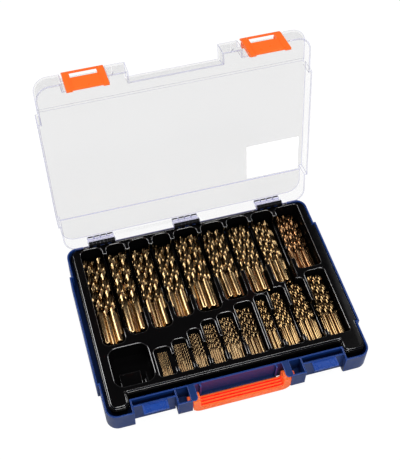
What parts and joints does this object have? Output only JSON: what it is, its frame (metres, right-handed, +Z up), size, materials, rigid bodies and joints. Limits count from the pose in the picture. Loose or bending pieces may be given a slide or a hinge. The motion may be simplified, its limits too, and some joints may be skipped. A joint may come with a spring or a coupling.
{
  "type": "drill bit case",
  "caption": "Open drill bit case: blue base, clear hinged lid with two orange latches, orange bail handle, and a black tray of bronze twist drills sorted by size.",
  "frame": {"origin": "centre of the underside of the base", "axes": "+X to the right along the case's width, +Y to the hinges at the rear, +Z up"},
  "size_m": [0.337, 0.3225, 0.2936],
  "materials": {
    "blue_plastic": "satin",
    "black_tray": "gloss",
    "orange_plastic": "satin",
    "clear_plastic": "gloss",
    "label_paper": "matte",
    "hinge_black": "satin",
    "hinge_grey": "satin",
    "pin_steel": "satin",
    "drill_bronze": "satin"
  },
  "bodies": {
    "base": {"base_shell": "blue_plastic", "tray_insert": "black_tray", "hinge_foot_left": "hinge_black", "hinge_foot_centre": "hinge_black", "hinge_foot_right": "hinge_black", "hinge_pin_left": "pin_steel", "hinge_pin_centre": "pin_steel", "hinge_pin_right": "pin_steel", "drills_10_0": "drill_bronze", "drills_9_5": "drill_bronze", "drills_9_0": "drill_bronze", "drills_8_5": "drill_bronze", "drills_8_0": "drill_bronze", "drills_7_5": "drill_bronze", "drills_7_0": "drill_bronze", "drills_6_5": "drill_bronze", "drills_6_0": "drill_bronze", "drills_1_0": "drill_bronze", "drills_1_5": "drill_bronze", "drills_2_0": "drill_bronze", "drills_2_5": "drill_bronze", "drills_3_0": "drill_bronze", "drills_3_5": "drill_bronze", "drills_4_0": "drill_bronze", "drills_4_5": "drill_bronze", "drills_5_0": "drill_bronze", "drills_5_5": "drill_bronze"},
    "lid": {"lid_shell": "clear_plastic", "lid_label": "label_paper", "hinge_leaf_left": "hinge_grey", "hinge_leaf_centre": "hinge_grey", "hinge_leaf_right": "hinge_grey"},
    "latch_left": {"latch_left": "orange_plastic"},
    "latch_right": {"latch_right": "orange_plastic"},
    "handle": {"carry_handle": "orange_plastic"}
  },
  "joints": [
    {"name": "lid_hinge", "type": "hinge", "parent": "base", "child": "lid", "pos_m": [0, 0.124, 0.0375], "axis": [1, 0, 0], "range_deg": [0, 102]},
    {"name": "latch_left_hinge", "type": "hinge", "parent": "lid", "child": "latch_left", "pos_m": [-0.10655, 0.18422, 0.27753], "axis": [-1, 0, 0], "range_deg": [0, 100]},
    {"name": "latch_right_hinge", "type": "hinge", "parent": "lid", "child": "latch_right", "pos_m": [0.10655, 0.18422, 0.27753], "axis": [-1, 0, 0], "range_deg": [0, 100]},
    {"name": "handle_pivot", "type": "hinge", "parent": "base", "child": "handle", "pos_m": [0, -0.1215, 0.024], "axis": [-1, 0, 0], "range_deg": [0, 88]}
  ]
}
